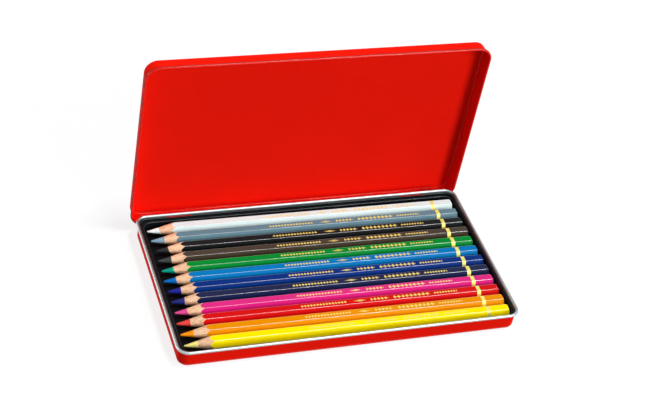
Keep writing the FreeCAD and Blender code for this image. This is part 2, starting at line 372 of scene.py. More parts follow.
def make_piece(name, points, faces, crease, finish_of_face=None, marks=None):
    """A mesh object from points in millimetres and groups of faces, all groups wound the same way.

    Marks are named numbers from 0 to 1, one for each point, that the finishes read.
    """
    mesh = bpy.data.meshes.new(name)
    listed = [face for group in turned_outwards(points, faces) for face in group.tolist()]
    mesh.from_pydata((points * MM).tolist(), [], listed)
    mesh.validate()
    if finish_of_face is not None:
        mesh.polygons.foreach_set("material_index", np.asarray(finish_of_face, np.int32))
    mesh.shade_smooth()
    mesh.set_sharp_from_angle(angle=math.radians(crease))
    for title, values in (marks or {}).items():
        mesh.attributes.new(title, "FLOAT", "POINT").data.foreach_set("value", np.asarray(values, np.float32))
    mesh.update()
    return new_object(name, mesh)


def joined_piece(name, parts, crease):
    """One mesh object from several closed parts, each with its points, faces and marks."""
    faces = []
    offset = 0
    for points, part_faces, _ in parts:
        faces += [group + offset for group in turned_outwards(points, part_faces)]
        offset += len(points)
    marks = {title: np.concatenate([part_marks[title] for _, _, part_marks in parts]) for title in parts[0][2]}
    return make_piece(name, np.vstack([points for points, _, _ in parts]), faces, crease, marks=marks)


def direction(angle):
    """The unit vector at an angle."""
    return np.array([math.cos(math.radians(angle)), math.sin(math.radians(angle))])


def bent_strip(start, heading, moves):
    """Both faces of bent sheet in cross-section: straight runs (length, 0) and bends (radius, turn).

    The middle line runs from start along heading; each face is the middle line moved half a sheet along its normal.
    Straight runs get an extra point close to each end, which keeps their shading flat. The third result is 0 for
    points on straight runs and counts the bends from 1 for points on bends.
    """
    here = np.array(start, float)
    middles = [here]
    headings = [heading]
    bends = [0]
    for size, turn in moves:
        if turn == 0:
            places = np.linspace(RUN_EDGE, size - RUN_EDGE, max(3, int(size / RUN_STEP)))
            places = np.append(places, size)
            middles += [here + direction(heading) * place for place in places]
            headings += [heading] * len(places)
            bends += [0] * len(places)
        else:
            side = 90.0 if turn > 0 else -90.0
            centre = here + size * direction(heading + side)
            count = max(2, int(math.ceil(abs(turn) / BEND_STEP)))
            parts = np.linspace(0, turn, count + 1)[1:]
            middles += [centre + size * direction(heading + side + 180 + part) for part in parts]
            headings += [heading + part for part in parts]
            bends += [max(bends) + 1] * count
            heading = heading + turn
        here = middles[-1]
    middles = np.array(middles)
    normals = np.radians(np.array(headings) + 90)
    offset = np.column_stack([np.cos(normals), np.sin(normals)]) * SHEET / 2
    return middles + offset, middles - offset, np.array(bends)


def swell(values, low, high, edge):
    """1 between low and high and 0 outside, with soft edges of a given width."""
    rise = np.clip((values - low) / edge + 0.5, 0, 1)
    fall = np.clip((high - values) / edge + 0.5, 0, 1)
    both = np.minimum(rise, fall)
    return both * both * (3 - 2 * both)


def turned(points, across, up, angle, middle=(0.0, 0.0)):
    """Points turned by an angle in the plane of two axes, about a middle in that plane."""
    cosine, sine = direction(angle)
    first = points[:, across] - middle[0]
    second = points[:, up] - middle[1]
    moved = points.copy()
    moved[:, across] = middle[0] + first * cosine - second * sine
    moved[:, up] = middle[1] + first * sine + second * cosine
    return moved


# Shader maths

def maths(operation, swapped=False):
    """A method of Wire that adds a Math node, with its two values swapped for an operator's reflected form."""
    def added(self, *others):
        values = others + (self,) if swapped else (self,) + others
        return self.finish.node("ShaderNodeMath", {"operation": operation}, dict(enumerate(values)))
    return added


class Wire:
    """A socket of a node tree; an expression on wires and numbers adds the Math nodes it needs."""

    def __init__(self, finish, socket):
        self.finish = finish
        self.socket = socket

    __add__ = maths("ADD")
    __radd__ = maths("ADD", swapped=True)
    __sub__ = maths("SUBTRACT")
    __rsub__ = maths("SUBTRACT", swapped=True)
    __mul__ = maths("MULTIPLY")
    __rmul__ = maths("MULTIPLY", swapped=True)
    __truediv__ = maths("DIVIDE")
    __rtruediv__ = maths("DIVIDE", swapped=True)
    __mod__ = maths("FLOORED_MODULO")
    __lt__ = maths("LESS_THAN")
    __gt__ = maths("GREATER_THAN")
    __abs__ = maths("ABSOLUTE")
    either = maths("MAXIMUM")
    sine = maths("SINE")

    def ramp(self, low, high, to_low=0.0, to_high=1.0):
        """A smooth step from to_low to to_high as the value goes from low to high."""
        return self.finish.node(
            "ShaderNodeMapRange", {"interpolation_type": "SMOOTHSTEP"},
            {"Value": self, "From Min": low, "From Max": high, "To Min": to_low, "To Max": to_high})


class Finish:
    """The node tree of a material or a world."""

    def __init__(self, owner):
        self.owner = owner
        owner.use_nodes = True
        self.tree = owner.node_tree
        self.tree.nodes.clear()

    def node(self, kind, settings=None, values=None, output=0):
        """Adds a node: its settings first, then the values or links of its sockets, by name or number."""
        made = self.tree.nodes.new(kind)
        for key, value in (settings or {}).items():
            setattr(made, key, value)
        for key, value in (values or {}).items():
            if isinstance(value, Wire):
                self.tree.links.new(value.socket, made.inputs[key])
            elif made.inputs[key].type == "RGBA":
                made.inputs[key].default_value = (*value, 1.0)
            else:
                made.inputs[key].default_value = value
        return Wire(self, made.outputs[output] if made.outputs else None)

    def place(self):
        """Object coordinates."""
        return self.node("ShaderNodeTexCoord", output="Object")

    def mark(self, name):
        """A number that the mesh carries at each point."""
        return self.node("ShaderNodeAttribute", {"attribute_name": name}, output="Fac")

    def axes(self, vector, count):
        """A vector's first parts, in millimetres."""
        split = self.node("ShaderNodeSeparateXYZ", None, {0: vector}).socket.node
        return [Wire(self, split.outputs[axis]) * (1 / MM) for axis in range(count)]

    def noise(self, vector, scale, detail=2.0, roughness=0.5):
        """Soft noise around 0.5, with one scale for all three axes or one for each."""
        if isinstance(scale, tuple):
            vector = self.node("ShaderNodeMapping", {"vector_type": "POINT"}, {"Vector": vector, "Scale": scale})
            scale = 1.0
        return self.node("ShaderNodeTexNoise", None,
                         {"Vector": vector, "Scale": scale, "Detail": detail, "Roughness": roughness})

    def mix(self, share, low, high):
        """A colour between two."""
        return self.node("ShaderNodeMix", {"data_type": "RGBA"}, {0: share, 6: low, 7: high}, output=2)

    def bump(self, height, distance, strength, under=None):
        """A normal from a height between 0 and 1 that stands for a distance in metres."""
        values = {"Height": height, "Distance": distance, "Strength": strength}
        if under is not None:
            values["Normal"] = under
        return self.node("ShaderNodeBump", None, values)

    def seen_directly(self):
        """1 for light paths from the camera, a reflection or glass, and 0 for light that falls on things."""
        camera = self.node("ShaderNodeLightPath", output="Is Camera Ray")
        glossy, clear = (Wire(self, camera.socket.node.outputs[kind])
                         for kind in ("Is Glossy Ray", "Is Transmission Ray"))
        return camera.either(glossy).either(clear)

    def painted(self, values):
        """The material, with a Principled shader that takes values and wires by the names of its sockets."""
        shader = self.node("ShaderNodeBsdfPrincipled", None, values)
        self.node("ShaderNodeOutputMaterial", None, {"Surface": shader})
        return self.owner


def new_finish(name):
    """The empty node tree of a new material."""
    return Finish(bpy.data.materials.new(name))


def shade(base, share):
    """A colour made darker or lighter by a share."""
    return tuple(min(1.0, value * share) for value in base)


def lighter(base, share):
    """A colour moved towards white by a share."""
    return tuple(value + (1.0 - value) * share for value in base)


def enamel_finish(name, base, metal=None):
    """Enamel with a faint ripple, glossier along its bends, and with painted shade darkening the crease under the lid's
    rolled edge.

    With metal given, the marked rim is bare rolled tinplate with slanting marks from the mill.
    """
    finish = new_finish(name)
    place = finish.place()
    cloud = finish.noise(place, ENAMEL_CLOUD, 3.0)
    ripple = finish.noise(place, 1.0 / bpy.context.scene.pencil_tin_sizes.peel, 1.0)
    dust = finish.noise(place, ENAMEL_DUST, 2.0)
    bend = finish.mark("edge")
    rub = bend * finish.noise(place, ENAMEL_RUB, 3.0).ramp(0.45, 0.75)
    tone = finish.mix(cloud.ramp(0.35, 0.65), shade(base, 0.985), shade(base, 1.01))
    tone = finish.mix(rub * 0.06, tone, lighter(base, 0.3))
    rough = 0.34 + 0.08 * cloud + 0.05 * dust
    normal = finish.bump(ripple, 20 * MICRON, 0.06)
    if metal is None:
        # Painted shade: the inner part of the lid's rolled bead and its crease are darkened towards 0.3 of the enamel,
        # broken up by the cloud
        tone = finish.mix(finish.mark("seam") * cloud.ramp(-0.6, 0.3), tone, shade(base, 0.3))
        wires = {"Base Color": tone, "Coat Weight": bend * 0.4, "Roughness": rough, "Normal": normal}
    else:
        bare = finish.mark("bare")
        across, back = finish.axes(place, 2)
        slant = finish.noise(place, RIM_SLANT)
        streak = ((across + 1.35 * back) * 4.4 + 3.0 * slant).sine().ramp(-0.8, 1.0)
        plate = finish.mix(streak * 0.5 + 0.5 * cloud, shade(metal, 0.92), metal)
        wires = {"Base Color": finish.mix(bare, tone, plate), "Metallic": bare,
                 "Coat Weight": bend * (1 - bare) * 0.5,
                 "Roughness": rough * (1 - bare) + bare * (0.38 + 0.12 * slant),
                 "Normal": finish.bump(streak * bare, 6 * MICRON, 0.2, normal)}
    return finish.painted({"Specular IOR Level": 0.006, "Coat Roughness": 0.16, "Coat IOR": 1.5, **wires})


def plastic_finish(name, base):
    """Satin black moulded plastic with a fine spark texture, smoother along its edges, where a painted highlight makes
    it paler.
    """
    finish = new_finish(name)
    place = finish.place()
    grain = finish.noise(place, PLASTIC_GRAIN, 3.0)
    cloud = finish.noise(place, PLASTIC_CLOUD, 3.0)
    edge = finish.mark("edge")
    tone = finish.mix(cloud.ramp(0.3, 0.7), shade(base, 0.8), shade(base, 1.25))
    return finish.painted({
        "Specular IOR Level": 0.04, "Coat Roughness": 0.2, "Coat IOR": 1.5,
        # Painted highlight: along the marked edges the plastic is lightened up to five and a half times its base colour
        "Base Color": finish.mix(edge * (0.6 + 0.4 * grain), tone, shade(base, 5.5)),
        "Roughness": 0.36 + 0.12 * grain + 0.06 * cloud,
        "Coat Weight": 0.6 * edge * grain.ramp(0.1, 0.5),
        "Normal": finish.bump(grain, 12 * MICRON, 0.4)})


def steel_finish(name, base):
    """Drawn steel wire."""
    finish = new_finish(name)
    draw = finish.noise(finish.place(), WIRE_DRAW, 3.0)
    return finish.painted({
        "Metallic": 1.0,
        "Base Color": finish.mix(draw, shade(base, 0.75), base),
        "Roughness": 0.22 + 0.2 * draw,
        "Normal": finish.bump(draw, 10 * MICRON, 0.5)})


def lacquer_finish(name, base, foil, pencil_end, haze):
    """Lacquer, glossier along the ridges and paler there, partly as wear from handling and partly as a painted
    highlight, with a gold ring and a stamped chain ornament on the top side.

    A varnish with a haze looks paler at a slant than straight on. The UV map holds the place along the pencil and the
    place around it from the middle of the top side, in metres.
    """
    finish = new_finish(name)
    sizes = bpy.context.scene.pencil_tin_sizes
    place = finish.place()
    along, around = finish.axes(finish.node("ShaderNodeUVMap", {"uv_map": "around"}), 2)
    wear = finish.noise(place, LACQUER_WEAR, 3.0)
    cloud = finish.noise(place, LACQUER_CLOUD)
    ripple = finish.noise(place, LACQUER_RIPPLE, 1.0)
    ridge = finish.mark("ridge")
    ring_place = pencil_end - sizes.ring_place / MM
    ring_half = sizes.ring_width / MM / 2
    ring = abs(along - ring_place).ramp(ring_half + RING_BLUR[0], ring_half + RING_BLUR[1], 1.0, 0.0)
    stamp = stamp_mask(along, around)
    gold = ring.either(stamp * wear.ramp(0.26, 0.36))
    tone = finish.mix(cloud.ramp(0.3, 0.7), shade(base, 0.97), shade(base, 1.02))
    # Painted highlight, partly wear: the marked ridges are moved 16 to 30 percent of the way towards a much paler
    # lacquer
    tone = finish.mix(ridge * (0.16 + 0.14 * wear.ramp(0.35, 0.6)), tone, lighter(base, 0.8))
    glint = finish.mix(wear.ramp(0.3, 0.7), shade(foil, 0.82), foil)
    return finish.painted({
        "Specular IOR Level": 0.04, "Coat Roughness": 0.1, "Coat IOR": 1.6,
        "Sheen Weight": haze, "Sheen Roughness": 0.5, "Sheen Tint": (0.7, 1.0, 1.0),
        "Base Color": finish.mix(gold, tone, glint),
        "Metallic": gold * 0.2,
        "Roughness": (0.3 + 0.06 * cloud) * (1 - gold) + gold * (0.26 + 0.14 * wear),
        "Coat Weight": ridge,
        "Normal": finish.bump(1.0 - stamp, 30 * MICRON, 0.4, finish.bump(ripple, 20 * MICRON, 0.15))})


def stamp_mask(along, around):
    """Gold ornament: chains of small lozenges with a dot between neighbours, and one long leaf between two chains.

    The chains lie on the middle line of the top side. Each has its own height, and a lozenge is the set of points where
    the share of its half length plus the share of its half height is under one.
    """
    size = STAMP_SIZE
    for start, more in STAMP_STEPS:
        size = size + more * (along > start)
    cell = (along - STAMP_RUNS[0][0]) / (size * STAMP_GAP)
    beside = abs(cell % 1.0 - 0.5)
    height = abs(around) / (size * 0.5)
    lozenge = beside / 0.38 + height / 1.1
    motif = lozenge.ramp(0.92, 1.04, 1.0, 0.0) * lozenge.ramp(0.1, 0.26)
    spot = ((0.5 - beside) / 0.1).either(height / 0.2).ramp(0.85, 1.1, 1.0, 0.0)
    inside = [abs(along - (low + high) / 2) < (high - low) / 2 for low, high in STAMP_RUNS]
    runs = inside[0]
    for run in inside[1:]:
        runs = runs.either(run)
    leaf = (abs(along - LEAF_MIDDLE) / LEAF_HALF + height / 0.8).ramp(0.9, 1.02, 1.0, 0.0)
    vein = abs(height - 0.1).ramp(0.03, 0.1)
    return (motif.either(spot) * runs).either(leaf * vein)


def wood_finish(name, base, grain):
    """Bare cedar cut by a sharpener: grain along the pencil and faint turning marks around it."""
    finish = new_finish(name)
    place = finish.place()
    along = finish.axes(place, 1)[0]
    lines = finish.noise(place, CEDAR_LINES, 4.0, 0.6)
    flecks = finish.noise(place, CEDAR_FLECKS, 3.0)
    cloud = finish.noise(place, CEDAR_CLOUD)
    tone = finish.mix(lines.ramp(0.42, 0.7), base, grain)
    tone = finish.mix(flecks.ramp(0.56, 0.74) * 0.5, tone, shade(grain, 0.8))
    tone = finish.mix(cloud.ramp(0.35, 0.7) * 0.35, tone, shade(base, 1.12))
    turning = (along * 14.0 + 5.0 * cloud).sine().ramp(-1.0, 1.0)
    return finish.painted({
        "Specular IOR Level": 0.1,
        "Base Color": tone,
        "Roughness": 0.62 + 0.2 * lines,
        "Normal": finish.bump(turning, 20 * MICRON, 0.35, finish.bump(lines, 40 * MICRON, 0.5))})


def core_finish(name, base):
    """Waxy colour with fine marks from the sharpener."""
    finish = new_finish(name)
    place = finish.place()
    along = finish.axes(place, 1)[0]
    cloud = finish.noise(place, CORE_CLOUD, 3.0)
    speck = finish.noise(place, CORE_SPECK)
    tone = finish.mix(cloud.ramp(0.3, 0.7), shade(base, 0.9), shade(base, 1.08))
    turning = (along * 16.0 + 4.0 * cloud).sine().ramp(-1.0, 1.0)
    return finish.painted({
        "Specular IOR Level": 0.12,
        "Base Color": finish.mix(speck.ramp(0.6, 0.75) * 0.3, tone, shade(base, 0.7)),
        "Roughness": 0.42 + 0.14 * speck,
        "Normal": finish.bump(turning, 15 * MICRON, 0.4)})


# Pieces

def tray_shell():
    """The drawn tray: a strip of sheet bent up from the floor, up the wall and out around the rim, carried round.

    The thumb recess moves the front wall in by its sink times one less the square of the share of the way along.
    """
    inner, outer, bends = bent_strip((-TRAY_BEND - START_RUN, SHEET / 2), 0.0, [
        (START_RUN, 0), (TRAY_BEND - SHEET / 2, 90.0), (RIM_MIDDLE - TRAY_BEND, 0), (RIM_BEAD - SHEET / 2, -CURL_TURN)])
    overhang = 2 * RIM_BEAD - SHEET
    half = (RIM_HALF[0] - overhang, RIM_HALF[1] - overhang)
    stops = (SIDE_STOPS, TRAY_FRONT_STOPS[::-1], SIDE_STOPS[::-1], TRAY_FRONT_STOPS)
    grid = carried_strip(outer, inner, half, RIM_CORNER - overhang, stops)
    rows, columns = grid.shape[:2]
    share = np.clip(1 - (grid[:, :, 0] / THUMB_HALF) ** 2, 0, 1)
    wall = grid[:, :, 1] < -half[1] + THUMB_DEPTH
    grid[:, :, 1] += wall * THUMB_SINK * share * swell(grid[:, :, 2], *THUMB_SPAN, PRESS_EDGE)
    curl = bends == 2
    marks = {"bare": np.repeat(there_and_back(curl, curl | (inner[:, 1] > BARE_FROM)), columns),
             "edge": np.repeat(there_and_back(bends, bends) > 0, columns)}
    return make_piece("tray_shell", grid.reshape(-1, 3), capped_faces(rows, columns), SHELL_CREASE, marks=marks)


def lid_grid(outer, inner):
    """A strip carried round the lid, with the front skirt moved out where the grip bar is."""
    stops = (SIDE_STOPS, REAR_STOPS, SIDE_STOPS[::-1], LID_FRONT_STOPS)
    grid = carried_strip(outer, inner, LID_HALF, LID_CORNER, stops)
    share = swell(grid[:, :, 0], GRIP_MIDDLE - GRIP_HALF, GRIP_MIDDLE + GRIP_HALF, GRIP_EDGE)
    share = share * swell(grid[:, :, 2], *GRIP_SPAN, PRESS_EDGE)
    grid[:, :, 1] -= (grid[:, :, 1] < 0) * share * GRIP_STAND
    return grid


def lid_shell():
    """The drawn lid: flat top, bend and flared skirt carried round the plan, then its rolled bead in two lengths.

    Between the two lengths the bead and the lower skirt are cut away for the hinges. Everything is worked out shut and
    then turned open about the hinge.
    """
    fall = LID_HEIGHT - LID_BEND - LID_BEAD
    down = math.degrees(LID_FLARE / fall) - 90.0
    upper_run = LID_HEIGHT - LID_BEND - RELIEF_HEIGHT
    outer, inner, bends = bent_strip((-LID_BEND - START_RUN, LID_TOP - SHEET / 2), 0.0, [
        (START_RUN, 0), (LID_BEND - SHEET / 2, down), (upper_run, 0)])
    grid = lid_grid(outer, inner)
    rows, columns = grid.shape[:2]
    edge = np.repeat(there_and_back(bends, bends) > 0, columns)
    parts = [(grid.reshape(-1, 3), capped_faces(rows, columns), {"edge": edge, "seam": np.zeros(len(edge))})]

    outer, inner, bends = bent_strip((outer[-1] + inner[-1]) / 2, down, [
        (fall - upper_run, 0), (LID_BEAD - SHEET / 2, CURL_TURN)])
    # How far round the bead's curl the painted crease shade has come in, from 0 to 1 across its span
    curl_shade = np.clip((np.cumsum(bends) / bends.sum() - SEAM_SHADE_SPAN[0]) / (SEAM_SHADE_SPAN[1] - SEAM_SHADE_SPAN[0]), 0, 1)
    grid = lid_grid(outer, inner)
    rows, columns = grid.shape[:2]
    ring = grid[0]
    cuts = [np.flatnonzero((ring[:, 1] > 0) & np.isclose(ring[:, 0], place + side * RELIEF_HALF))
            for place in HINGE_PLACES[::-1] for side in (1, -1)]
    strip = np.arange(rows // 2 - 1)
    for begin, until in ((cuts[1][-1], cuts[2][0]), (cuts[3][-1], cuts[0][0] + columns)):
        length_of_bead = grid[:, np.arange(begin, until + 1) % columns]
        count = length_of_bead.shape[1]
        near = np.stack([strip, strip + 1, rows - 2 - strip, rows - 1 - strip], axis=-1) * count
        parts.append((length_of_bead.reshape(-1, 3),
                      [grid_faces(rows, count, close_rows=True), near[:, ::-1], near + count - 1],
                      {"edge": np.repeat(there_and_back(bends, bends) > 0, count),
                       "seam": np.repeat(there_and_back(curl_shade, curl_shade), count)}))
    opened = [(turned(points, 1, 2, -LID_OPEN, HINGE), faces, marks) for points, faces, marks in parts]
    return joined_piece("lid_shell", opened, SHELL_CREASE)


def insert_moulding():
    """The moulded insert as a stack of rounded rectangles, from the hollow underneath, round the outside and over the
    lip and ledge, down to the floor of the recess. Quarter-circle steps round every edge, and the lip drops a little
    at the hinge leaves."""
    half_x, half_y = INSERT_HALF

    def inset_box(box, corner, least, inset, height):
        left, right, front, back = box
        return (left + inset, right - inset, front + inset, back - inset, max(corner - inset, least), height)

    def outside(inset, height):
        return inset_box((-half_x, half_x, -half_y, half_y), INSERT_CORNER, LEAST_CORNER, inset, height)

    def recess(inset, height):
        return inset_box(RECESS, RECESS_CORNER, LEAST_RECESS_CORNER, inset, height)

    def arc(section, inset, height, radius, angles):
        steps = [direction(angle) * radius for angle in angles]
        return [section(inset + step[0], height + step[1]) for step in steps]

    ceiling = INSERT_FLOOR - INSERT_SKIN
    levels = [outside(INSERT_FOOT + HOLLOW_MARGIN, ceiling), outside(INSERT_FOOT, ceiling),
              outside(INSERT_FOOT, ceiling - GUARD),
              outside(INSERT_FOOT, INSERT_BASE + GUARD), outside(INSERT_FOOT, INSERT_BASE)]
    levels += arc(outside, INSERT_ROUND, INSERT_BASE + INSERT_ROUND, INSERT_ROUND, np.linspace(270, 180, ROUND_POINTS))
    levels.append(outside(0, LEDGE))
    lip_first = len(levels)
    levels.append(outside(0, LIP - LIP_ROUND - GUARD))
    levels += arc(outside, LIP_ROUND, LIP - LIP_ROUND, LIP_ROUND, (180, 150, 120, 90))
    levels += arc(outside, LIP_WIDTH - LIP_ROUND, LIP - LIP_ROUND, LIP_ROUND, (90, 60, 30, 0))
    lip_last = len(levels)
    levels += [outside(LIP_WIDTH, LIP - LIP_ROUND - FINE_GUARD), outside(LIP_WIDTH, LEDGE + GUARD),
               outside(LIP_WIDTH, LEDGE), recess(-MOUTH_ROUND - FINE_GUARD, LEDGE)]
    mouth_first = len(levels)
    levels += arc(recess, -MOUTH_ROUND, LEDGE - MOUTH_ROUND, MOUTH_ROUND, 90 - 20 * np.arange(MOUTH_STEPS))
    levels += [recess(0, LEDGE - MOUTH_ROUND), recess(0, INSERT_FLOOR + FLOOR_ROUND + GUARD)]
    levels += arc(recess, FLOOR_ROUND, INSERT_FLOOR + FLOOR_ROUND, FLOOR_ROUND, np.linspace(180, 270, ROUND_POINTS))
    levels.append(recess(FLOOR_ROUND + FLOOR_MARGIN, INSERT_FLOOR))

    grid = levels_grid(levels, (INSERT_SIDE_STOPS, REAR_STOPS, INSERT_SIDE_STOPS[::-1], INSERT_FRONT_STOPS))
    rows, columns = grid.shape[:2]
    ring = grid[0]
    for place in HINGE_PLACES:
        edges = np.flatnonzero((ring[:, 1] > 0) & np.isclose(np.abs(ring[:, 0] - place), RELIEF_HALF))
        lip_rows = grid[lip_first:lip_last + 1, edges.min() + 1:edges.max()]
        lip_rows[:, :, 2] = np.minimum(lip_rows[:, :, 2], NOTCH_FLOOR)
    # Rows round the lip's top and the recess's mouth, where the plastic has a painted highlight
    edge = np.zeros(rows)
    edge[lip_first + 1:lip_last] = 1
    edge[mouth_first:mouth_first + MOUTH_STEPS] = 1
    return make_piece("insert_moulding", grid.reshape(-1, 3), capped_faces(rows, columns), SHELL_CREASE,
                      marks={"edge": np.repeat(edge, columns)})


def hexagon(ridge):
    """Points around a six-sided rod's section with rounded ridges, from the middle of the lower side, one side up.

    The flat sides lie at half the flats distance; each ridge is an arc of equal steps through 60 degrees.
    Returns the sideways and upward place of each point, the distance travelled around, and 1 for points on ridges.
    """
    half = PENCIL_FLATS / 2
    slant = math.radians(30)
    reach = (half - ridge) / math.cos(slant)
    flat = (half - ridge) * math.tan(slant)
    angles = slant + np.radians(np.linspace(-30, 30, RIDGE_POINTS))
    flat_across = np.array([-flat + FLAT_EDGE, -flat / 2, 0.0, flat / 2, flat - FLAT_EDGE])
    across = np.concatenate([flat_across, reach * math.sin(slant) + ridge * np.sin(angles)])
    out = np.concatenate([np.full(FLAT_POINTS, half), reach * math.cos(slant) + ridge * np.cos(angles)])
    turns = np.radians(60 * np.arange(6) - 180)[:, None]
    to_middle = -(FLAT_POINTS // 2)
    side = np.roll((across * np.cos(turns) + out * np.sin(turns)).ravel(), to_middle)
    rise = np.roll((out * np.cos(turns) - across * np.sin(turns)).ravel(), to_middle)
    marks = np.roll(np.tile(np.repeat([0.0, 1.0], [FLAT_POINTS, RIDGE_POINTS]), 6), to_middle)
    steps = np.hypot(np.diff(side, append=side[0]), np.diff(rise, append=rise[0]))
    return side, rise, np.concatenate([[0], np.cumsum(steps)]), marks


def cone_apex(point):
    """Where the sharpened cone would end without the small ball that rounds its point off."""
    return point - POINT_ROUND * (math.hypot(1, TAPER) / TAPER - 1)


def core_reach(side, rise, drop):
    """The core's radius in a direction: it sits a little low in the wood by a drop, and isn't quite round."""
    return CORE_RADIUS - drop * rise + CORE_OVAL * side * rise


def pencil_grid(places, radii, middle, side, rise):
    """Points round a pencil's axis from their places along it and their radii in each direction."""
    return np.stack([places, middle + radii * side, PENCIL_HEIGHT + radii * rise], axis=-1).reshape(-1, 3)


def casing_piece(name, middle, point, end, drop, ridge):
    """A pencil's casing: a six-sided rod cut by a cone, with a rounded end and a bore for the core.

    Each point around the section has its own radius, so the rod meets the cone at the apex plus that radius over the
    taper, and this makes the scalloped edge of the lacquer, its first finish. Wood, its second, runs from the bore to
    that edge and lines the bore.
    """
    side, rise, travelled, ridges = hexagon(ridge)
    radius = np.hypot(side, rise)
    side = side / radius
    rise = rise / radius
    bore = core_reach(side, rise, drop) + BORE_RADIUS - CORE_RADIUS
    count = len(radius)
    number = np.arange(count)
    waver = sum(size * np.sin(number * pace + shift * middle) for size, pace, shift in WAVERS)
    meet = cone_apex(point) + radius / TAPER + waver
    mouth = cone_apex(point) + bore / TAPER
    shoulder = end - END_ROUND
    top = radius.max()
    rings = [(mouth + (meet - mouth) * share, bore + (radius - bore) * share) for share in WOOD_SHARES]
    rings += [(meet + place, radius) for place in LACQUER_STARTS]
    rings += [(place, radius) for place in np.linspace(point + ROD_START, shoulder - GUARD, ROD_RINGS)]
    for angle in END_ANGLES:
        inwards, onwards = direction(angle) * END_ROUND
        rings.append((shoulder + onwards, radius * (top - END_ROUND + inwards) / top))
    rings.append((end, rings[-1][1] * CAP_SHARE))
    cap_row = len(rings) - 1
    rings += [(end - END_CAP, bore), (mouth + BORE_MOUTH, bore)]
    places = np.array([np.broadcast_to(place, count) for place, _ in rings])
    points = pencil_grid(places, np.array([reach for _, reach in rings]), middle, side, rise)

    outside = grid_faces(cap_row + 1, count, close_columns=True)
    inside = grid_faces(2, count, close_columns=True) + (cap_row + 1) * count
    following = (number + 1) % count
    last = (cap_row + 2) * count
    joint = np.stack([last + number, last + following, following, number], axis=-1)
    cap = (number + cap_row * count)[None, :]
    stop = (number + (cap_row + 1) * count)[None, ::-1]
    wood_rows = len(WOOD_SHARES) - 1
    wooden = [np.arange(len(outside)) < wood_rows * count, np.ones(len(inside)), np.ones(len(joint)), [0], [1]]
    lacquered = np.arange(len(rings))[:, None] > wood_rows
    piece = make_piece(name, turned(points, 0, 1, ROW_TURN), [outside, inside, joint, cap, stop], CASING_CREASE,
                       np.concatenate(wooden), {"ridge": (ridges * lacquered).ravel()})
    write_around(piece.data, points[:, 0], count, travelled)
    return piece


def write_around(mesh, along, count, travelled):
    """A UV map of the place along a pencil and the place around it, in metres, from the middle of its top side."""
    corners = np.empty(len(mesh.loops), np.int32)
    mesh.loops.foreach_get("vertex_index", corners)
    totals = np.empty(len(mesh.polygons), np.int32)
    mesh.polygons.foreach_get("loop_total", totals)
    face_of_corner = np.repeat(np.arange(len(totals)), totals)
    number = corners % count
    lowest = np.full(len(totals), count)
    highest = np.zeros(len(totals), int)
    np.minimum.at(lowest, face_of_corner, number)
    np.maximum.at(highest, face_of_corner, number)
    over_seam = ((highest - lowest > count // 2) & (totals == 4))[face_of_corner] & (number == 0)
    around = np.where(over_seam, travelled[-1], travelled[number]) - travelled[-1] / 2
    pairs = np.column_stack([along[corners], around]) * MM
    mesh.uv_layers.new(name="around").data.foreach_set("uv", pairs.astype(np.float32).ravel())


def core_piece(name, middle, point, end, drop):
    """A pencil's core, spun about the pencil's axis: its radius grows from the tip by the taper plus a swell that
    rises like the square root of one less a falling exponential, and the rod runs on inside the bore."""
    angles = np.linspace(0, 2 * np.pi, CORE_SIDES, endpoint=False)
    side = np.sin(angles)
    rise = np.cos(angles)
    reach = core_reach(side, rise, drop)
    shoulder = cone_apex(point) + reach / TAPER
    shares = TIP_SHARES[:, None]
    travelled = shares * (shoulder - point)
    cone = TIP_SWELL * np.sqrt(1 - np.exp(-travelled / SWELL_LENGTH)) + (reach - TIP_SWELL) * shares
    back = end - END_CAP - (BORE_RADIUS - CORE_RADIUS)
    places = np.vstack([point + travelled, shoulder + CORE_START, np.full(CORE_SIDES, back)])
    points = pencil_grid(places, np.vstack([cone, reach, reach]), middle, side, rise)
    return make_piece(name, turned(points, 0, 1, ROW_TURN), capped_faces(len(places), CORE_SIDES), CORE_CREASE)


def dress(piece, finishes, body, slot, *nodes):
    """Gives a piece its finishes, and lets it ride on a body and stand for CAD nodes; the slot argument is not used."""
    for finish in finishes:
        piece.data.materials.append(finish)
    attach(piece, body)
    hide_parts(*nodes)


# Operators

class PENCILTIN_OT_tray(bpy.types.Operator):
    """Make the enamelled tray with its bare rolled rim"""
    bl_idname = "pencil_tin.tray"
    bl_label = "Tray"

    def execute(self, context):
        colours = context.scene.pencil_tin_colours
        paint = enamel_finish("tray_enamel_and_rim", colours.enamel, colours.rim_metal)
        dress(tray_shell(), [paint], "tray", "tray_enamel", "base_pan")
        return {"FINISHED"}


class PENCILTIN_OT_lid(bpy.types.Operator):
    """Make the enamelled lid, standing open"""
    bl_idname = "pencil_tin.lid"
    bl_label = "Lid"

    def execute(self, context):
        paint = enamel_finish("lid_enamel", context.scene.pencil_tin_colours.enamel)
        dress(lid_shell(), [paint], "lid", "lid_enamel", "lid")
        return {"FINISHED"}


class PENCILTIN_OT_hinges(bpy.types.Operator):
    """Finish the hinge leaves and their wire pins"""
    bl_idname = "pencil_tin.hinges"
    bl_label = "Hinges"

    def execute(self, context):
        colours = context.scene.pencil_tin_colours
        # Painted shade: the hinge leaves take a copy of the red enamel at half its brightness, for their place in shade
        # under the rim
        leaf = enamel_finish("leaf_enamel", shade(colours.enamel, 0.5))
        wire = steel_finish("hinge_wire", colours.wire)
        for node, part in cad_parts.items():
            if node.startswith("hinge_"):
                for place in part.material_slots:
                    place.material = leaf if node.startswith("hinge_leaf") else wire
        return {"FINISHED"}


class PENCILTIN_OT_insert(bpy.types.Operator):
    """Make the black moulded insert"""
    bl_idname = "pencil_tin.insert"
    bl_label = "Insert"

    def execute(self, context):
        plastic = plastic_finish("insert_plastic", context.scene.pencil_tin_colours.plastic)
        dress(insert_moulding(), [plastic], "tray", "insert_plastic", "insert_tray")
        return {"FINISHED"}


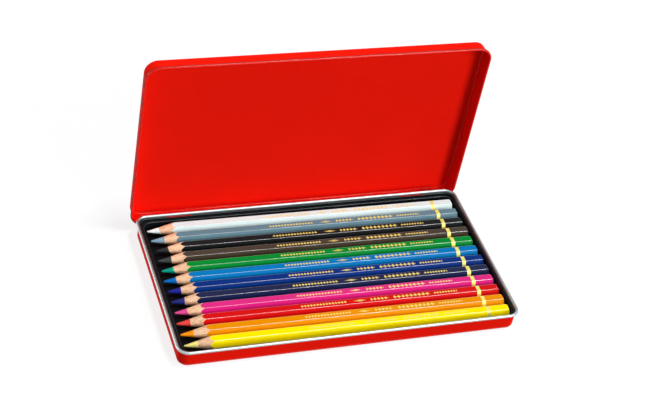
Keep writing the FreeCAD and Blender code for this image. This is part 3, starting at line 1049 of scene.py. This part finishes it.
class PENCILTIN_OT_pencils(bpy.types.Operator):
    """Make the pencils, each a lacquered casing and a coloured core"""
    bl_idname = "pencil_tin.pencils"
    bl_label = "Pencils"

    def execute(self, context):
        colours = context.scene.pencil_tin_colours
        ridge = context.scene.pencil_tin_sizes.ridge / MM
        foil = colours.foil
        wood = wood_finish("cedar", colours.wood, colours.wood_grain)
        for number, (key, row) in enumerate(PENCILS.items()):
            haze, point_shift, end_shift, drop = row[2:]
            body = "pencil_%02d" % (number + 1)
            middle = PENCIL_FIRST - PENCIL_PITCH * number
            point = POINT_X + point_shift
            end = END_X + end_shift
            lacquer = lacquer_finish("lacquer_" + key, getattr(colours, "lacquer_" + key), foil, end, haze)
            core = core_finish("core_" + key, getattr(colours, "core_" + key))
            casing = casing_piece(body + "_rod", middle, point, end, drop, ridge)
            dress(casing, [lacquer, wood], body, "paint_" + key, body + "_casing")
            lead = core_piece(body + "_lead", middle, point, end, drop)
            dress(lead, [core], body, "core_" + key, body + "_core")
        return {"FINISHED"}


class PENCILTIN_OT_stage(bpy.types.Operator):
    """Set the floor, the soft studio light and the camera"""
    bl_idname = "pencil_tin.stage"
    bl_label = "Stage"

    def execute(self, context):
        make_floor()
        make_world(context.scene)
        make_lights()
        make_camera(context.scene)
        context.scene.view_settings.view_transform = "Standard"
        return {"FINISHED"}


def make_floor():
    """A pale floor: a flat grid, white to the camera and in gloss but for the shadow it catches."""
    reach = np.linspace(-FLOOR_REACH, FLOOR_REACH, 9)
    points = np.stack(np.meshgrid(reach, reach, -FLOOR_DROP, indexing="ij"), axis=-1).reshape(-1, 3)
    mesh = bpy.data.meshes.new("floor")
    mesh.from_pydata((points * MM).tolist(), [], grid_faces(len(reach), len(reach)).tolist())
    mesh.update()
    floor = new_object("floor", mesh)
    finish = new_finish("floor_paper")
    paper = {"Base Color": (FLOOR_GREY,) * 3, "Roughness": 0.9, "Specular IOR Level": 0.0}
    unlit = finish.node("ShaderNodeBsdfPrincipled", None, paper)
    lit = finish.node("ShaderNodeBsdfPrincipled", None,
                      {**paper, "Emission Color": WHITE, "Emission Strength": FLOOR_LIFT})
    mix = finish.node("ShaderNodeMixShader", None, {0: finish.seen_directly(), 1: unlit, 2: lit})
    finish.node("ShaderNodeOutputMaterial", None, {"Surface": mix})
    mesh.materials.append(finish.owner)


def make_world(scene):
    """An even sky: white to the camera and to gloss, softer as light."""
    world = bpy.data.worlds.new("studio")
    finish = Finish(world)
    light = finish.node("ShaderNodeBackground", None, {"Color": WHITE, "Strength": SKY_STRENGTH})
    plain = finish.node("ShaderNodeBackground", None, {"Color": WHITE, "Strength": 1.0})
    mix = finish.node("ShaderNodeMixShader", None, {0: finish.seen_directly(), 1: light, 2: plain})
    finish.node("ShaderNodeOutputWorld", None, {"Surface": mix})
    scene.world = world


def make_lights():
    """Soft distant lamps, each shining from a direction."""
    for name, towards, strength, width in LIGHTS:
        lamp = bpy.data.lights.new(name, "SUN")
        lamp.energy = strength
        lamp.angle = math.radians(width)
        stand = new_object(name, lamp)
        stand.location = Vector(towards)
        stand.rotation_euler = Vector(towards).to_track_quat("Z", "Y").to_euler()


def make_camera(scene):
    """A camera at the solved place: backwards, right and up come from azimuth and elevation, then roll."""
    azimuth = math.radians(CAMERA_AZIMUTH)
    elevation = math.radians(CAMERA_ELEVATION)
    roll = math.radians(CAMERA_ROLL)
    back = Vector((math.sin(azimuth) * math.cos(elevation), -math.cos(azimuth) * math.cos(elevation),
                   math.sin(elevation)))
    right = Vector((math.cos(azimuth), math.sin(azimuth), 0.0))
    up = back.cross(right)
    turned_right = right * math.cos(roll) + up * math.sin(roll)
    turned_up = up * math.cos(roll) - right * math.sin(roll)
    lens = bpy.data.cameras.new("camera")
    lens.sensor_width = SENSOR_WIDTH
    lens.sensor_fit = "HORIZONTAL"
    lens.lens = FOCAL_PIXELS * SENSOR_WIDTH / PICTURE_WIDTH
    lens.clip_start, lens.clip_end = CAMERA_CLIP
    camera = new_object("camera", lens)
    place = back * CAMERA_DISTANCE + turned_right * CAMERA_ACROSS + turned_up * CAMERA_UP
    camera.matrix_world = Matrix.Translation(place) @ Matrix((turned_right, turned_up, back)).transposed().to_4x4()
    scene.camera = camera


class PENCILTIN_PT_panel(bpy.types.Panel):
    """Lists the tin's pieces and finishes"""
    bl_idname = "PENCILTIN_PT_panel"
    bl_label = "Pencil Tin"
    bl_space_type = "VIEW_3D"
    bl_region_type = "UI"
    bl_category = "Pencil Tin"

    def draw(self, context):
        for step in STEPS:
            self.layout.operator(step.bl_idname)
        for group in (context.scene.pencil_tin_sizes, context.scene.pencil_tin_colours):
            for key in group.bl_rna.properties.keys():
                if key not in ("rna_type", "name"):
                    self.layout.prop(group, key)


STEPS = (PENCILTIN_OT_tray, PENCILTIN_OT_lid, PENCILTIN_OT_hinges, PENCILTIN_OT_insert,
         PENCILTIN_OT_pencils, PENCILTIN_OT_stage)
CLASSES = (PencilTinColours, PencilTinSizes) + STEPS + (PENCILTIN_PT_panel,)


def register():
    for kind in CLASSES:
        bpy.utils.register_class(kind)
    bpy.types.Scene.pencil_tin_colours = PointerProperty(type=PencilTinColours)
    bpy.types.Scene.pencil_tin_sizes = PointerProperty(type=PencilTinSizes)


def unregister():
    del bpy.types.Scene.pencil_tin_sizes
    del bpy.types.Scene.pencil_tin_colours
    for kind in reversed(CLASSES):
        bpy.utils.unregister_class(kind)


def main():
    register()
    bpy.ops.pencil_tin.tray()
    bpy.ops.pencil_tin.lid()
    bpy.ops.pencil_tin.hinges()
    bpy.ops.pencil_tin.insert()
    bpy.ops.pencil_tin.pencils()
    bpy.ops.pencil_tin.stage()


if __name__ == "__main__":
    main()
